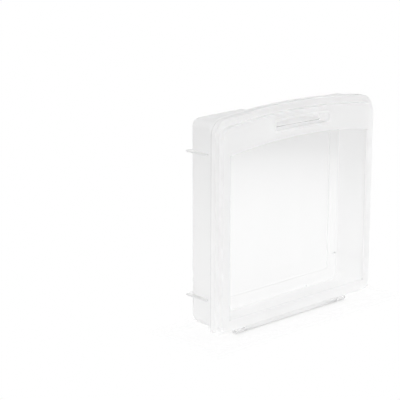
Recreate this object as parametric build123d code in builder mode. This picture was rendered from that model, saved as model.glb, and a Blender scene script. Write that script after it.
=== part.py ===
"""Scrapbook paper storage case: a clear moulded tray and a lid that turns on two short hinge pins."""
import os
from math import radians, tan

from build123d import *

# The case stands upright: X is its width, Y runs from the lid's face to the tray's back, Z is up.
# The origin is on the floor, under the middle of the case. All sizes are in millimetres.

# Paper that the case is made for, and the room round it
paper_side = 304.8
paper_play = 0.3
paper_side_room = 18.6

# Mouldings
wall = 2.0
draft_angle = 2.0
case_depth = 80.0
part_gap = 0.3

# Hinge along the bottom edge, which is also the front foot
barrel_radius = 4.5
barrel_rim_gap = 1.0
hinge_end_inset = 51.0
tray_knuckle_length = 19.7
knuckle_end_gap = 0.3
pin_radius = 1.75
pin_running_clearance = 0.05
pin_press = 0.02
pin_depth_in_lid = 18.0
pin_end_inset = 0.7
pin_chamfer = 0.3
pin_bore_spare = 1.0

# Rim, where the lid and the tray meet
flange_width = 8.0
rim_arch = 12.0
rim_bottom_radius = 15.0
rim_top_radius = 25.0
tray_rim_depth = 6.3
rim_round = 1.8
skirt_round = 0.9

# Lid
lid_depth = 19.0
collar_depth = 9.5
collar_side_inset = 8.0
collar_bottom_inset = 6.1
collar_top_inset = 11.0
panel_bottom_radius = 10.0
panel_top_radius = 17.0
panel_edge_round = 1.6

# Window sunk into the lid's face
window_side_margin = 14.5
window_bottom_margin = 16.9
window_slot_gap = 14.8
window_radius = 3.5
window_sink = 1.5

# Handle slot through the lid and the tray's rim
slot_half_length = 61.0
slot_height = 14.8
slot_arch = 1.5
slot_radius = 4.0
slot_lip_drop = 0.4
handle_band = 12.3
bead_width = 4.5
bead_height = 1.5
bead_round = 1.3
slot_rim_clearance = 0.5

# Finger recess behind the slot, between the tray's two shoulders
recess_end_room = 7.0
recess_radius = 8.0

# Tray
tub_bottom_inset = 2.2
tub_shoulder_drop = 10.5
tub_arch = 2.0
tub_bottom_radius = 18.0
tub_top_radius = 15.0
tub_rear_round = 10.0
tongue_height = 5.0

# Pad raised on the tray's back, which nests in the window of the next case in a stack
pad_side_gap = 8.5
pad_end_gap = 5.0
pad_radius = 7.0
pad_height = 1.5

# Fins on the tray's sides, and runners under it
fin_thickness = 2.0
fin_low_rise = 50.3
fin_high_drop = 56.0
fin_round = 5.0
runner_thickness = 2.5
runner_inset = 35.0
runner_hinge_space = 8.0
runner_round = 4.0

# Places across the case, from its middle
tub_half_width = paper_side / 2 + paper_side_room + wall
rim_half_width = tub_half_width + flange_width
panel_half_width = rim_half_width - collar_side_inset
window_half_width = panel_half_width - window_side_margin
hinge_half_length = rim_half_width - hinge_end_inset
lid_barrel_end = hinge_half_length - tray_knuckle_length - knuckle_end_gap
bore_end = lid_barrel_end - pin_depth_in_lid - pin_bore_spare
runner_half_spacing = hinge_half_length - runner_inset
recess_half_width = slot_half_length + recess_end_room

# Places from the lid's face to the tray's back
front_face = bead_height - case_depth / 2
rim_front = front_face + collar_depth
parting = front_face + lid_depth
lid_rear = parting - part_gap / 2
tray_front = parting + part_gap / 2
rear_face = case_depth / 2
rear_wall = rear_face - pad_height
tub_depth = rear_wall - tray_front
inner_round = tub_rear_round - wall

# Heights above the floor. The paper stands on the tray's floor, which rises to the rear by the draft
floor_rise = tub_depth * tan(radians(draft_angle))
rim_bottom = 2 * barrel_radius + barrel_rim_gap
neck_top = rim_bottom + wall
tub_bottom = rim_bottom + tub_bottom_inset
recess_ceiling = tub_bottom + wall + floor_rise + paper_side + paper_play
recess_floor = recess_ceiling + wall
slot_bottom = recess_floor - slot_lip_drop
slot_top = slot_bottom + slot_height
panel_top = slot_top + handle_band
rim_top = panel_top + collar_top_inset
panel_bottom = rim_bottom + collar_bottom_inset
window_bottom = panel_bottom + window_bottom_margin
window_top = slot_bottom - window_slot_gap
tub_top = rim_top - tub_shoulder_drop

# Fins and runners start inside the tub's wall, past its rounded rear edge
fin_inner = tub_half_width - floor_rise - tub_rear_round - wall / 2
runner_top = tub_bottom + floor_rise + tub_rear_round + wall / 2


def case_plane(y):
    """Upright plane across the case at y, facing the rear."""
    return Plane(origin=(0, y, 0), x_dir=(-1, 0, 0), z_dir=(0, 1, 0))


def outline(y, half_width, bottom, top, arch, bottom_radius, top_radius, bottom_arch=0.0):
    """Face across the case at y: straight sides, an arched top, and a bottom that is flat or arched."""
    with BuildSketch(case_plane(y)) as face:
        with BuildLine():
            if bottom_arch > 0:
                ThreePointArc(
                    (half_width, bottom - bottom_arch), (0, bottom), (-half_width, bottom - bottom_arch)
                )
            else:
                Line((half_width, bottom), (-half_width, bottom))
            Line((-half_width, bottom - bottom_arch), (-half_width, top - arch))
            ThreePointArc((-half_width, top - arch), (0, top), (half_width, top - arch))
            Line((half_width, top - arch), (half_width, bottom - bottom_arch))
        make_face()
        fillet(face.vertices().sort_by(Axis.Y)[:2], bottom_radius)
        fillet(face.vertices().sort_by(Axis.Y)[-2:], top_radius)
    return face.sketch


def rim_outline(y, inset=0.0):
    """Outer edge of the rim, or the line inside it by inset."""
    return outline(
        y,
        rim_half_width - inset,
        rim_bottom + inset,
        rim_top - inset,
        rim_arch,
        rim_bottom_radius - inset,
        rim_top_radius - inset,
    )


def panel_outline(y, inset=0.0):
    """Outer edge of the lid's face, or the line inside it by inset."""
    return outline(
        y,
        panel_half_width - inset,
        panel_bottom + inset,
        panel_top - inset,
        rim_arch,
        panel_bottom_radius - inset,
        panel_top_radius - inset,
    )


def tub_outline(y, inset=0.0):
    """Outer edge of the tray's tub at its mouth, or the line inside it by inset."""
    return outline(
        y,
        tub_half_width - inset,
        tub_bottom + inset,
        tub_top - inset,
        tub_arch,
        tub_bottom_radius - inset,
        tub_top_radius - inset,
    )


def window_outline(y, inset=0.0):
    """Edge of the window, or the line inside it by inset."""
    return outline(
        y,
        window_half_width - inset,
        window_bottom + inset,
        window_top - inset,
        rim_arch,
        window_radius,
        window_radius,
    )


def pad_outline(y, inset=0.0):
    """Edge of the pad on the tray's back, which stands inside the window's edge."""
    return outline(
        y,
        window_half_width - pad_side_gap - inset,
        window_bottom + pad_end_gap + inset,
        window_top - pad_end_gap - inset,
        rim_arch,
        pad_radius - inset,
        pad_radius - inset,
    )


def slot_outline(y, spare=0.0):
    """Handle slot, or the line outside it by spare."""
    return outline(
        y,
        slot_half_length + spare,
        slot_bottom - spare,
        slot_top + spare,
        slot_arch,
        slot_radius + spare,
        slot_radius + spare,
        slot_arch,
    )


def block(low, high, mode=Mode.ADD):
    """Plain block between two corners, added to or cut from the part being built."""
    size = [b - a for a, b in zip(low, high)]
    with Locations(tuple((a + b) / 2 for a, b in zip(low, high))):
        Box(*size, mode=mode)


def bar(start, end, radius, mode=Mode.ADD):
    """Round bar on the hinge line from x = start to x = end, added or cut."""
    with Locations(((start + end) / 2, parting, barrel_radius)):
        Cylinder(radius, end - start, rotation=(0, 90, 0), mode=mode)


def arch_drop(x, half_width):
    """How far the arched top has come down at x."""
    return rim_arch * (x / half_width) ** 2


# Lid's rim with its rounded front edge
with BuildPart() as lid_rim:
    extrude(rim_outline(rim_front), amount=lid_rear - rim_front)
    fillet(lid_rim.faces().sort_by(Axis.Y)[0].edges(), rim_round)

with BuildPart() as lid:
    # Face, collar and rim
    extrude(panel_outline(front_face), amount=collar_depth + wall)
    fillet(lid.faces().sort_by(Axis.Y)[0].edges(), panel_edge_round)
    add(lid_rim.part)
    # Hollow inside, and the window sunk into the face
    extrude(panel_outline(front_face + wall, wall), amount=collar_depth, mode=Mode.SUBTRACT)
    extrude(rim_outline(rim_front + wall, wall), amount=lid_depth, mode=Mode.SUBTRACT)
    extrude(window_outline(front_face + wall / 2, -wall), amount=window_sink + wall / 2)
    extrude(window_outline(front_face), amount=window_sink, mode=Mode.SUBTRACT)
    # Slot with a bead round it, and a sleeve that runs back to the tray's rim
    extrude(slot_outline(front_face - bead_height, bead_width), amount=bead_height + wall / 2)
    fillet(lid.faces().sort_by(Axis.Y)[0].edges(), bead_round)
    extrude(slot_outline(front_face + wall / 2, wall), amount=lid_rear - front_face - wall / 2)
    extrude(slot_outline(front_face - bead_height), amount=bead_height + lid_depth, mode=Mode.SUBTRACT)
    # Hinge barrel, its neck under the rim, and the bores for the pins
    bar(-lid_barrel_end, lid_barrel_end, barrel_radius)
    block(
        (-lid_barrel_end, parting - barrel_radius, barrel_radius),
        (lid_barrel_end, lid_rear, neck_top),
    )
    bar(bore_end, lid_barrel_end, pin_radius + pin_running_clearance, Mode.SUBTRACT)
    bar(-lid_barrel_end, -bore_end, pin_radius + pin_running_clearance, Mode.SUBTRACT)

lid.part.label = "lid"

# Space inside the tray, with the finger recess's walls and the hollow of the rear pad
with BuildPart() as tray_space:
    extrude(tub_outline(tray_front, wall), amount=tub_depth - wall, taper=draft_angle)
    fillet(tray_space.faces().sort_by(Axis.Y)[-1].edges(), inner_round)
    extrude(pad_outline(rear_wall - 2 * wall, wall), amount=wall + pad_height)
    block(
        (-recess_half_width - wall, tray_front - wall, recess_ceiling),
        (recess_half_width + wall, rear_face, rim_top),
        Mode.SUBTRACT,
    )

# Outside of the tray's tub, with rounded rear edges
with BuildPart() as tub:
    extrude(tub_outline(tray_front), amount=tub_depth, taper=draft_angle)
    fillet(tub.faces().sort_by(Axis.Y)[-1].edges(), tub_rear_round)

# Tongue that reaches into the lid's rim
with BuildPart() as tongue:
    extrude(tub_outline(tray_front - tongue_height), amount=tongue_height + wall / 2)
    extrude(tub_outline(tray_front - tongue_height, wall), amount=case_depth, mode=Mode.SUBTRACT)

# Tray
with BuildPart() as tray:
    # Rim: a flange with a skirt that turns back at its edge
    extrude(rim_outline(tray_front), amount=tray_rim_depth)
    fillet(tray.faces().sort_by(Axis.Y)[-1].edges(), skirt_round)
    extrude(rim_outline(tray_front + wall, wall), amount=tray_rim_depth, mode=Mode.SUBTRACT)
    # Tub with the pad on its back
    add(tub.part)
    extrude(pad_outline(rear_wall - wall / 2), amount=pad_height + wall / 2)
    add(tongue.part)
    # Side fins at two heights
    for side in (-1, 1):
        for height in (tub_bottom + fin_low_rise, tub_top - fin_high_drop):
            with BuildSketch(Plane.XY.offset(height)):
                with BuildLine():
                    Polyline(
                        (side * fin_inner, tray_front + wall / 2),
                        (side * rim_half_width, tray_front + wall / 2),
                        (side * rim_half_width, rear_face - fin_round),
                    )
                    RadiusArc(
                        (side * rim_half_width, rear_face - fin_round),
                        (side * (rim_half_width - fin_round), rear_face),
                        -side * fin_round,
                    )
                    Polyline(
                        (side * (rim_half_width - fin_round), rear_face),
                        (side * fin_inner, rear_face),
                        (side * fin_inner, tray_front + wall / 2),
                    )
                make_face()
            extrude(amount=fin_thickness)
    # Runners under the tray, level with the hinge barrel, so that the case stands upright
    for x in (-runner_half_spacing, runner_half_spacing):
        with BuildSketch(Plane.YZ.offset(x - runner_thickness / 2)):
            with BuildLine():
                Polyline(
                    (parting + runner_hinge_space, 0),
                    (rear_wall - runner_round, 0),
                )
                RadiusArc(
                    (rear_wall - runner_round, 0), (rear_wall, runner_round), -runner_round
                )
                Polyline(
                    (rear_wall, runner_round),
                    (rear_wall, runner_top),
                    (tray_front + wall / 2, runner_top),
                    (tray_front + wall / 2, neck_top),
                    (parting + runner_hinge_space, neck_top),
                    (parting + runner_hinge_space, 0),
                )
            make_face()
        extrude(amount=runner_thickness)
    # Finger recess between the shoulders, and the space inside
    extrude(
        outline(
            tray_front + wall,
            recess_half_width,
            recess_floor,
            rim_top - 2 * wall,
            arch_drop(recess_half_width, rim_half_width),
            recess_radius,
            recess_radius,
        ),
        amount=tub_depth + wall,
        mode=Mode.SUBTRACT,
    )
    add(tray_space.part, mode=Mode.SUBTRACT)
    extrude(
        outline(
            tray_front,
            slot_half_length + slot_rim_clearance,
            recess_floor,
            slot_top + slot_rim_clearance,
            slot_arch,
            slot_radius,
            slot_radius,
        ),
        amount=2 * wall,
        mode=Mode.SUBTRACT,
    )
    # Hinge knuckles at the two ends of the lid's barrel
    for side in (-1, 1):
        near, far = sorted((side * (hinge_half_length - tray_knuckle_length), side * hinge_half_length))
        bar(near, far, barrel_radius)
        block((near, tray_front, barrel_radius), (far, parting + barrel_radius, neck_top))
        bar(near, far, pin_radius - pin_press, Mode.SUBTRACT)

tray.part.label = "tray"

# Hinge pins, pressed into the tray's knuckles and free to turn in the lid's barrel
pin_start = lid_barrel_end - pin_depth_in_lid
pin_length = hinge_half_length - pin_end_inset - pin_start
pins = []
for name, side in (("hinge_pin_left", -1), ("hinge_pin_right", 1)):
    with BuildPart() as pin:
        near, far = sorted((side * pin_start, side * (pin_start + pin_length)))
        bar(near, far, pin_radius)
        chamfer(pin.edges().filter_by(GeomType.CIRCLE), pin_chamfer)
    pin.part.label = name
    pins.append(pin.part)

os.makedirs("parts", exist_ok=True)
export_step(lid.part, "parts/lid.step")
export_step(tray.part, "parts/tray.step")
for pin_part in pins:
    export_step(pin_part, f"parts/{pin_part.label}.step")
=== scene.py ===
"""Looks of the clear craft paper case: haze and flow lines in its plastic, a white studio and the camera."""
import math

import bpy
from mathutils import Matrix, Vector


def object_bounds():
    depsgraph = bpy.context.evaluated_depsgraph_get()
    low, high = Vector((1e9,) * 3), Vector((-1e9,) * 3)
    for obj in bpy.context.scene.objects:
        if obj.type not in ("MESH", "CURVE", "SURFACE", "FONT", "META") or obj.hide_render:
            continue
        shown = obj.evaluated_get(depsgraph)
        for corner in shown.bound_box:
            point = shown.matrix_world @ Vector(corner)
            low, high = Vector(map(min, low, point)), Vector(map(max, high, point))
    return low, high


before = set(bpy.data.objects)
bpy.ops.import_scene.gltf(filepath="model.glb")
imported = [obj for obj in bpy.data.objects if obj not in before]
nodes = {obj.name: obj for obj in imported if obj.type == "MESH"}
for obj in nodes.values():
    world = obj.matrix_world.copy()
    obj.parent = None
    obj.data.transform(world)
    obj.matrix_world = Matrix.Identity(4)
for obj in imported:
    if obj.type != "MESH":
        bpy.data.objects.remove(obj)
cad_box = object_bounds()

# Camera of the photograph: places in metres, angles in degrees, lengths in pixels of its square frame, and
# the sensor in millimetres
CAMERA_PLACE = (-1.563, -1.490, 0.739)
CAMERA_HEADING = 42.75
CAMERA_PITCH = 14.2
CAMERA_REACH = 100.0
FOCAL_PIXELS = 1365.9
FRAME_PIXELS = 400
SENSOR_WIDTH = 36.0

# The lid's window, in metres. Its top edge is an arch, and its frost starts over a narrow edge
WINDOW_HALF_WIDTH = 0.1585
WINDOW_BOTTOM = 0.033
WINDOW_TOP = 0.3081
WINDOW_ARCH = 0.012
MASK_EDGE = 0.0004

# Fins on the tray's sides, in metres: they stand out past the tub, behind the tray's rim
TUB_HALF_WIDTH = 0.1735
RIM_BACK = -0.0125

# Plastic: how clear and how rough the lid's window, the frame round it, the tray and the pins are
REFRACTION = 1.49
WINDOW_CLEAR = 0.97
WINDOW_ROUGH = 0.05
FRAME_CLEAR = 0.82
FRAME_ROUGH = 0.6
TRAY_CLEAR = 0.93
TRAY_BACK_ROUGH = 0.1
TRAY_WALL_ROUGH = 0.34
PIN_CLEAR = 0.95
PIN_ROUGH = 0.1

# The frame's clearness falls by this much from the window's top to its bottom
FRAME_LOW_HAZE = 0.3

# The tray's walls turn into its flat back where the front-to-back share of a face's normal is between these
WALL_END = 0.5
BACK_START = 0.8

# Tones of the plastic: between its flow lines, on them, and on the fins, where the darker tone is painted
# shade
PALE = 0.999
FLOW_TONE = 0.992
FIN_PAINTED_SHADE = 0.86

# Painted shade makes the upper faces of the rims a darker tone: how far a face's normal points up, and
# heights in metres
TOP_PAINTED_SHADE = 0.9
FACING_START = 0.6
FACING_END = 0.9
HEIGHT_START = 0.3
HEIGHT_END = 0.32

# Flow lines run up the walls and make them a little more or less rough. Scales are in cells to the metre
ALONG_FLOW = (1.0, 1.0, 0.08)
FLOW_SCALE = 70.0
FLOW_DETAIL = 3.0
FLOW_LOW = 0.3
FLOW_HIGH = 0.6
FLOW_ROUGH_LEAST = 0.95
FLOW_ROUGH_MOST = 1.05

# Fine grain covers the plastic, the same in all directions. Its height is in metres
ALL_ROUND = (1.0, 1.0, 1.0)
GRAIN_SCALE = 900.0
GRAIN_DETAIL = 2.0
GRAIN_STRENGTH = 0.008
GRAIN_HEIGHT = 0.0001

# A ray that has met more surfaces than this, or been mirrored more often, goes straight on, so that thick
# edges don't end dark
DEEPEST = 4.5
MOST_MIRRORED = 1.5

# Share of the studio's light that passes a surface. It falls to the lower share near the floor, between these
# heights in metres, and so the case has a thin shadow where it stands
LIGHT_PASS = 0.995
CONTACT_PASS = 0.1
CONTACT_START = 0.001
CONTACT_END = 0.004

# Floor: half its width in metres, and its paint. Where it is seen, also through plastic, only the shown share
# of its white is lit and the rest glows, so that its shadows are faint
FLOOR_HALF = 12.0
FLOOR_PAINT = 0.97
FLOOR_SHOWN = 0.4

# Painted shade: except to the camera, the floor darkens by this share between these distances from its
# middle, in metres
FLOOR_PAINTED_SHADE = 0.22
FADE_START = 0.3
FADE_END = 1.4
FADE_POWER = 3.0

# The camera sees the floor only near the case, and it fades between these distances in metres, so that a lid
# that hangs open below the floor shows too
SEEN_START = 0.005
SEEN_END = 0.05

# The studio's light at the horizon, and the rise or fall of a direction, as its Z, at which it reaches white
SKY_LOW = 0.78
SKY_FULL = 0.5
WHITE = (1.0, 1.0, 1.0, 1.0)


def make_camera():
    """The camera at the photograph's place and angle."""
    data = bpy.data.cameras.new("camera")
    data.sensor_width = SENSOR_WIDTH
    data.lens = FOCAL_PIXELS / FRAME_PIXELS * SENSOR_WIDTH
    data.clip_end = CAMERA_REACH
    camera = bpy.data.objects.new("camera", data)
    camera.location = CAMERA_PLACE
    camera.rotation_euler = (math.radians(90 - CAMERA_PITCH), 0, math.radians(-CAMERA_HEADING))
    bpy.context.scene.collection.objects.link(camera)
    bpy.context.scene.camera = camera


class Shader:
    """The nodes of a material or of the world, built with short calls."""

    def __init__(self, owner, output="ShaderNodeOutputMaterial"):
        self.owner = owner
        owner.use_nodes = True
        self.tree = owner.node_tree
        self.tree.nodes.clear()
        self.output = self.add(output)

    def add(self, kind, inputs=None, **settings):
        """A new node, with its inputs set to values or linked to sockets."""
        node = self.tree.nodes.new(kind)
        for name, value in settings.items():
            setattr(node, name, value)
        for name, value in (inputs or {}).items():
            if isinstance(value, bpy.types.NodeSocket):
                self.tree.links.new(value, node.inputs[name])
            else:
                node.inputs[name].default_value = value
        return node

    def math(self, operation, first, second=0.0):
        """The result of one sum."""
        return self.add("ShaderNodeMath", {0: first, 1: second}, operation=operation).outputs[0]

    def ramp(self, value, start, end, low=0.0, high=1.0):
        """A number that runs from low to high while value runs from start to end."""
        steps = {"Value": value, "From Min": start, "From Max": end, "To Min": low, "To Max": high}
        return self.add("ShaderNodeMapRange", steps).outputs["Result"]

    def mix(self, share, first, second):
        """A shader that runs from the first to the second with share."""
        return self.add("ShaderNodeMixShader", {0: share, 1: first, 2: second}).outputs[0]

    def grey(self, value):
        """A grey of this level."""
        return self.add("ShaderNodeCombineColor", {0: value, 1: value, 2: value}).outputs[0]

    def axes(self, vector):
        """A vector's three numbers."""
        return self.add("ShaderNodeSeparateXYZ", {0: vector}).outputs

    def noise(self, place, stretch, scale, detail):
        """Noise between 0 and 1, drawn out along the axes where stretch is small."""
        drawn = self.add("ShaderNodeVectorMath", {0: place, 1: stretch}, operation="MULTIPLY")
        cells = {"Vector": drawn.outputs[0], "Scale": scale, "Detail": detail}
        return self.add("ShaderNodeTexNoise", cells).outputs[0]

    def show(self, socket):
        """The material or world, with this as its surface."""
        self.tree.links.new(socket, self.output.inputs["Surface"])
        return self.owner


def frame_mask(shader, axes):
    """1 on the lid's frosted frame and 0 in its clear window, with a narrow soft edge between them."""
    beyond_side = shader.math("SUBTRACT", shader.math("ABSOLUTE", axes["X"]), WINDOW_HALF_WIDTH)
    across = shader.math("DIVIDE", axes["X"], WINDOW_HALF_WIDTH)
    drop = shader.math("MULTIPLY", shader.math("MULTIPLY", across, across), WINDOW_ARCH)
    over = shader.math("ADD", shader.math("SUBTRACT", axes["Z"], WINDOW_TOP), drop)
    under = shader.math("SUBTRACT", WINDOW_BOTTOM, axes["Z"])
    outside = shader.math("MAXIMUM", beyond_side, shader.math("MAXIMUM", over, under))
    return shader.ramp(outside, -MASK_EDGE, MASK_EDGE)


def fin_shade_mask(shader, axes):
    """1 on the fins that stand out from the tray's sides behind its rim, which are darkened with painted
    shade.
    """
    outboard = shader.math("GREATER_THAN", shader.math("ABSOLUTE", axes["X"]), TUB_HALF_WIDTH)
    return shader.math("MULTIPLY", outboard, shader.math("GREATER_THAN", axes["Y"], RIM_BACK))


def top_shade_mask(shader, axes, facing):
    """1 on the faces high on the case that point up, which are darkened with painted shade."""
    up = shader.ramp(facing["Z"], FACING_START, FACING_END)
    return shader.math("MULTIPLY", up, shader.ramp(axes["Z"], HEIGHT_START, HEIGHT_END))


def painted_shade(shader, tone_and_shade, mask, least):
    """The tone, darkened with painted shade to the least share of it where the mask is 1."""
    return shader.math("MULTIPLY", tone_and_shade, shader.ramp(mask, 0.0, 1.0, 1.0, least))


def plastic(name, clear, rough, framed=False, walled=False):
    """Clear polypropylene with flow lines and fine grain.

    A framed piece is frosted outside its window. A walled one has rougher walls and fins darkened with
    painted shade. On every piece, painted shade darkens the faces high up that point up.
    """
    shader = Shader(bpy.data.materials.new(name))
    place = shader.add("ShaderNodeTexCoord").outputs["Object"]
    axes = shader.axes(place)
    facing = shader.axes(shader.add("ShaderNodeNewGeometry").outputs["Normal"])
    flow = shader.noise(place, ALONG_FLOW, FLOW_SCALE, FLOW_DETAIL)
    grain = shader.noise(place, ALL_ROUND, GRAIN_SCALE, GRAIN_DETAIL)
    tone_and_shade = shader.ramp(flow, FLOW_LOW, FLOW_HIGH, FLOW_TONE, PALE)
    if framed:
        frosted = frame_mask(shader, axes)
        low = FRAME_CLEAR - FRAME_LOW_HAZE
        hazed = shader.ramp(axes["Z"], WINDOW_BOTTOM, WINDOW_TOP, low, FRAME_CLEAR)
        clear = shader.ramp(frosted, 0.0, 1.0, clear, hazed)
        rough = shader.ramp(frosted, 0.0, 1.0, rough, FRAME_ROUGH)
        tone_and_shade = shader.math("MAXIMUM", tone_and_shade, shader.ramp(frosted, 0.0, 1.0, PALE, 0.0))
    if walled:
        flat = shader.math("ABSOLUTE", facing["Y"])
        rough = shader.ramp(flat, WALL_END, BACK_START, TRAY_WALL_ROUGH, rough)
        # Painted shade darkens the fins
        tone_and_shade = painted_shade(shader, tone_and_shade, fin_shade_mask(shader, axes), FIN_PAINTED_SHADE)
    # Painted shade darkens the faces high on the case that point up
    tone_and_shade = painted_shade(shader, tone_and_shade, top_shade_mask(shader, axes, facing), TOP_PAINTED_SHADE)
    uneven = shader.ramp(flow, FLOW_LOW, FLOW_HIGH, FLOW_ROUGH_LEAST, FLOW_ROUGH_MOST)
    bump = {"Height": grain, "Strength": GRAIN_STRENGTH, "Distance": GRAIN_HEIGHT}
    surface = shader.add(
        "ShaderNodeBsdfPrincipled",
        {
            "Base Color": shader.grey(tone_and_shade),
            "Roughness": shader.math("MULTIPLY", uneven, rough),
            "IOR": REFRACTION,
            "Transmission Weight": clear,
            "Normal": shader.add("ShaderNodeBump", bump).outputs[0],
        },
    )
    return shader.show(light_through(shader, surface.outputs[0], axes))


def light_through(shader, surface, axes):
    """The surface as the camera meets it, which lets the studio's light and deep rays go straight on."""
    rays = shader.add("ShaderNodeLightPath").outputs
    deep = shader.math("GREATER_THAN", rays["Ray Depth"], DEEPEST)
    mirrored = shader.math("GREATER_THAN", rays["Glossy Depth"], MOST_MIRRORED)
    passed = shader.grey(shader.ramp(axes["Z"], CONTACT_START, CONTACT_END, CONTACT_PASS, LIGHT_PASS))
    light = shader.add("ShaderNodeBsdfTransparent", {"Color": passed}).outputs[0]
    onward = shader.add("ShaderNodeBsdfTransparent", {"Color": (LIGHT_PASS, LIGHT_PASS, LIGHT_PASS, 1.0)})
    surface = shader.mix(shader.math("MAXIMUM", deep, mirrored), surface, onward.outputs[0])
    surface = shader.mix(rays["Is Diffuse Ray"], surface, light)
    return shader.mix(rays["Is Shadow Ray"], surface, light)


def past_foot(shader, axes):
    """How far a point of the floor lies outside the case's own outline, seen from above."""
    (low_x, low_y, _), (high_x, high_y, _) = cad_box
    sides = []
    for axis, low, high in (("X", low_x, high_x), ("Y", low_y, high_y)):
        from_middle = shader.math("ABSOLUTE", shader.math("SUBTRACT", axes[axis], (low + high) / 2))
        sides.append(shader.math("SUBTRACT", from_middle, (high - low) / 2))
    return shader.math("MAXIMUM", *sides)


def floor_paint():
    """White that keeps the object's shadow. Seen through the plastic it darkens away from the case, which is
    painted shade.
    """
    shader = Shader(bpy.data.materials.new("floor"))
    place = shader.add("ShaderNodeTexCoord").outputs["Object"]
    rays = shader.add("ShaderNodeLightPath").outputs
    away = shader.add("ShaderNodeVectorMath", {0: place}, operation="LENGTH").outputs["Value"]
    # Painted shade: away from its middle the floor darkens, except to the camera
    far_shade = shader.math("POWER", shader.ramp(away, FADE_START, FADE_END), FADE_POWER)
    unseen = shader.math("SUBTRACT", 1.0, rays["Is Camera Ray"])
    level = shader.math("SUBTRACT", 1.0, shader.math("MULTIPLY", shader.math("MULTIPLY", far_shade, FLOOR_PAINTED_SHADE), unseen))
    shown = shader.math("MAXIMUM", rays["Is Camera Ray"], rays["Is Transmission Ray"])
    shown = shader.math("MAXIMUM", shown, rays["Is Glossy Ray"])
    share = shader.math("SUBTRACT", FLOOR_PAINT, shader.math("MULTIPLY", shown, FLOOR_PAINT - FLOOR_SHOWN))
    glow = shader.math("MULTIPLY", shader.math("MULTIPLY", level, shown), 1 - FLOOR_SHOWN)
    matt = shader.add("ShaderNodeBsdfDiffuse", {"Color": shader.grey(shader.math("MULTIPLY", level, share))})
    light = shader.add("ShaderNodeEmission", {"Strength": glow})
    both = shader.add("ShaderNodeAddShader", {0: matt.outputs[0], 1: light.outputs[0]})
    beyond = shader.ramp(past_foot(shader, shader.axes(place)), SEEN_START, SEEN_END)
    beyond = shader.math("MULTIPLY", beyond, rays["Is Camera Ray"])
    clear = shader.add("ShaderNodeBsdfTransparent")
    return shader.show(shader.mix(beyond, both.outputs[0], clear.outputs[0]))


def make_floor():
    """The flat floor that the case stands on."""
    mesh = bpy.data.meshes.new("floor")
    corners = [(x * FLOOR_HALF, y * FLOOR_HALF, 0) for x, y in ((-1, -1), (1, -1), (1, 1), (-1, 1))]
    mesh.from_pydata(corners, [], [(0, 1, 2, 3)])
    mesh.materials.append(floor_paint())
    floor = bpy.data.objects.new("floor", mesh)
    bpy.context.scene.collection.objects.link(floor)


def make_lights():
    """Even studio light from all round, darker near the horizon except to the camera."""
    world = bpy.data.worlds.new("studio")
    bpy.context.scene.world = world
    shader = Shader(world, "ShaderNodeOutputWorld")
    direction = shader.axes(shader.add("ShaderNodeTexCoord").outputs["Generated"])
    rays = shader.add("ShaderNodeLightPath").outputs
    level = shader.ramp(shader.math("ABSOLUTE", direction["Z"]), 0.0, SKY_FULL, SKY_LOW, 1.0)
    level = shader.math("MAXIMUM", level, rays["Is Camera Ray"])
    light = shader.add("ShaderNodeBackground", {"Color": WHITE, "Strength": level})
    shader.show(light.outputs[0])


def dress(name, material):
    """Gives a node of the case its material."""
    nodes[name].data.materials.clear()
    nodes[name].data.materials.append(material)


dress("lid", plastic("lid", WINDOW_CLEAR, WINDOW_ROUGH, framed=True))
dress("tray", plastic("tray", TRAY_CLEAR, TRAY_BACK_ROUGH, walled=True))
for pin in ("hinge_pin_left", "hinge_pin_right"):
    dress(pin, plastic(pin, PIN_CLEAR, PIN_ROUGH))

make_camera()
make_floor()
make_lights()
bpy.context.scene.view_settings.view_transform = "Standard"
